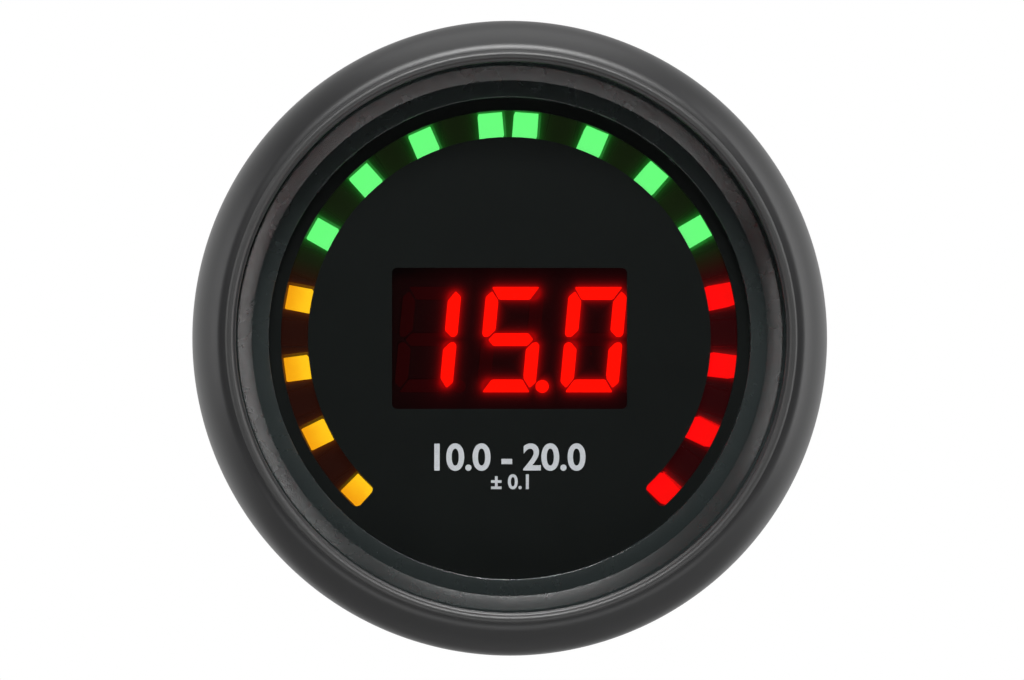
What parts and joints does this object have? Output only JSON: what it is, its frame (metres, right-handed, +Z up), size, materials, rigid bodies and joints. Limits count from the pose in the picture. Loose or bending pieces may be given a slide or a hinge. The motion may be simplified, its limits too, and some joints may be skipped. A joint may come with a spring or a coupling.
{
  "type": "air fuel ratio gauge",
  "caption": "Round panel gauge: an arc of square lights round a digital reading under a flat lens, in a rolled bezel and a drawn cup case held by a U-shaped clamp.",
  "frame": {"origin": "centre of the plane where the bezel seats on the panel", "axes": "+Y back through the panel along the case, the face looks along -Y, +Z up, +X to the viewer's right"},
  "size_m": [0.0564, 0.0689, 0.0564],
  "materials": {
    "bezel_satin_black": "satin black stoved paint",
    "lens_glass": "clear, flat, polished",
    "gasket_rubber": "matt black",
    "sight_ring_black": "fine satin black",
    "dial_black": "matt black",
    "arc_film": "smoked, smooth",
    "display_film": "dark red, smooth",
    "housing_plastic": "moulded matt",
    "light_amber": "lit diffuser",
    "light_green": "lit diffuser",
    "light_red": "lit diffuser",
    "light_dark": "unlit diffuser",
    "display_plastic": "dark face",
    "segment_lit": "lit diffuser",
    "segment_dark": "unlit diffuser",
    "pin_metal": "gold flashed",
    "board_green": "solder mask",
    "spacer_brass": "turned",
    "header_black": "moulded",
    "chip_black": "moulded",
    "crystal_can": "drawn can",
    "capacitor_can": "drawn can",
    "inlet_plastic": "moulded matt",
    "case_black": "black, slightly textured",
    "screw_steel": "zinc plated",
    "stud_steel": "zinc plated",
    "bracket_steel": "zinc plated, rolled strip",
    "thumb_nut_brass": "turned and knurled"
  },
  "bodies": {
    "case": {"bezel": "bezel_satin_black", "lens": "lens_glass", "lens_gasket": "gasket_rubber", "sight_ring": "sight_ring_black", "dial_face": "dial_black", "arc_filter": "arc_film", "display_filter": "display_film", "light_housing": "housing_plastic", "light_amber_1": "light_amber", "light_amber_2": "light_amber", "light_amber_3": "light_amber", "light_amber_4": "light_amber", "light_green_1": "light_green", "light_green_2": "light_green", "light_green_3": "light_green", "light_green_4": "light_green", "light_green_5": "light_green", "light_green_6": "light_green", "light_green_7": "light_green", "light_green_8": "light_green", "light_red_1": "light_red", "light_red_2": "light_red", "light_red_3": "light_red", "light_red_4": "light_red", "lights_unlit": "light_dark", "display_case": "display_plastic", "digit_left_lit": "segment_lit", "digit_middle_lit": "segment_lit", "digit_right_lit": "segment_lit", "digit_left_unlit": "segment_dark", "digit_middle_unlit": "segment_dark", "digit_right_unlit": "segment_dark", "decimal_point_lit": "segment_lit", "decimal_points_unlit": "segment_dark", "display_pins": "pin_metal", "led_board": "board_green", "board_spacers": "spacer_brass", "header_base_front": "header_black", "header_base_rear": "header_black", "header_pins": "pin_metal", "control_board": "board_green", "microcontroller": "chip_black", "crystal": "crystal_can", "voltage_regulator": "chip_black", "supply_capacitor": "capacitor_can", "board_posts": "spacer_brass", "inlet_socket": "inlet_plastic", "inlet_pins": "pin_metal", "case": "case_black", "case_screws": "screw_steel", "stud_left": "stud_steel", "stud_right": "stud_steel", "stud_nut_left": "stud_steel", "stud_nut_right": "stud_steel"},
    "bracket": {"clamp_bracket": "bracket_steel", "lock_washer_left": "screw_steel", "lock_washer_right": "screw_steel"},
    "nut_left": {"thumb_nut_left": "thumb_nut_brass"},
    "nut_right": {"thumb_nut_right": "thumb_nut_brass"}
  },
  "joints": [
    {"name": "bracket_slide", "type": "slide", "parent": "case", "child": "bracket", "axis": [0, 1, 0], "range_m": [-0.005, 0.006]},
    {"name": "nut_left_spin", "type": "hinge", "parent": "bracket", "child": "nut_left", "pos_m": [-0.017, 0, 0], "axis": [0, 1, 0], "range_deg": [-2268, 2721]},
    {"name": "nut_right_spin", "type": "hinge", "parent": "bracket", "child": "nut_right", "pos_m": [0.017, 0, 0], "axis": [0, 1, 0], "range_deg": [-2268, 2721]}
  ],
  "couplings": [
    {"joint": "nut_left_spin", "follows": "bracket_slide", "rad_per_m": 7913.3},
    {"joint": "nut_right_spin", "follows": "bracket_slide", "rad_per_m": 7913.3}
  ]
}
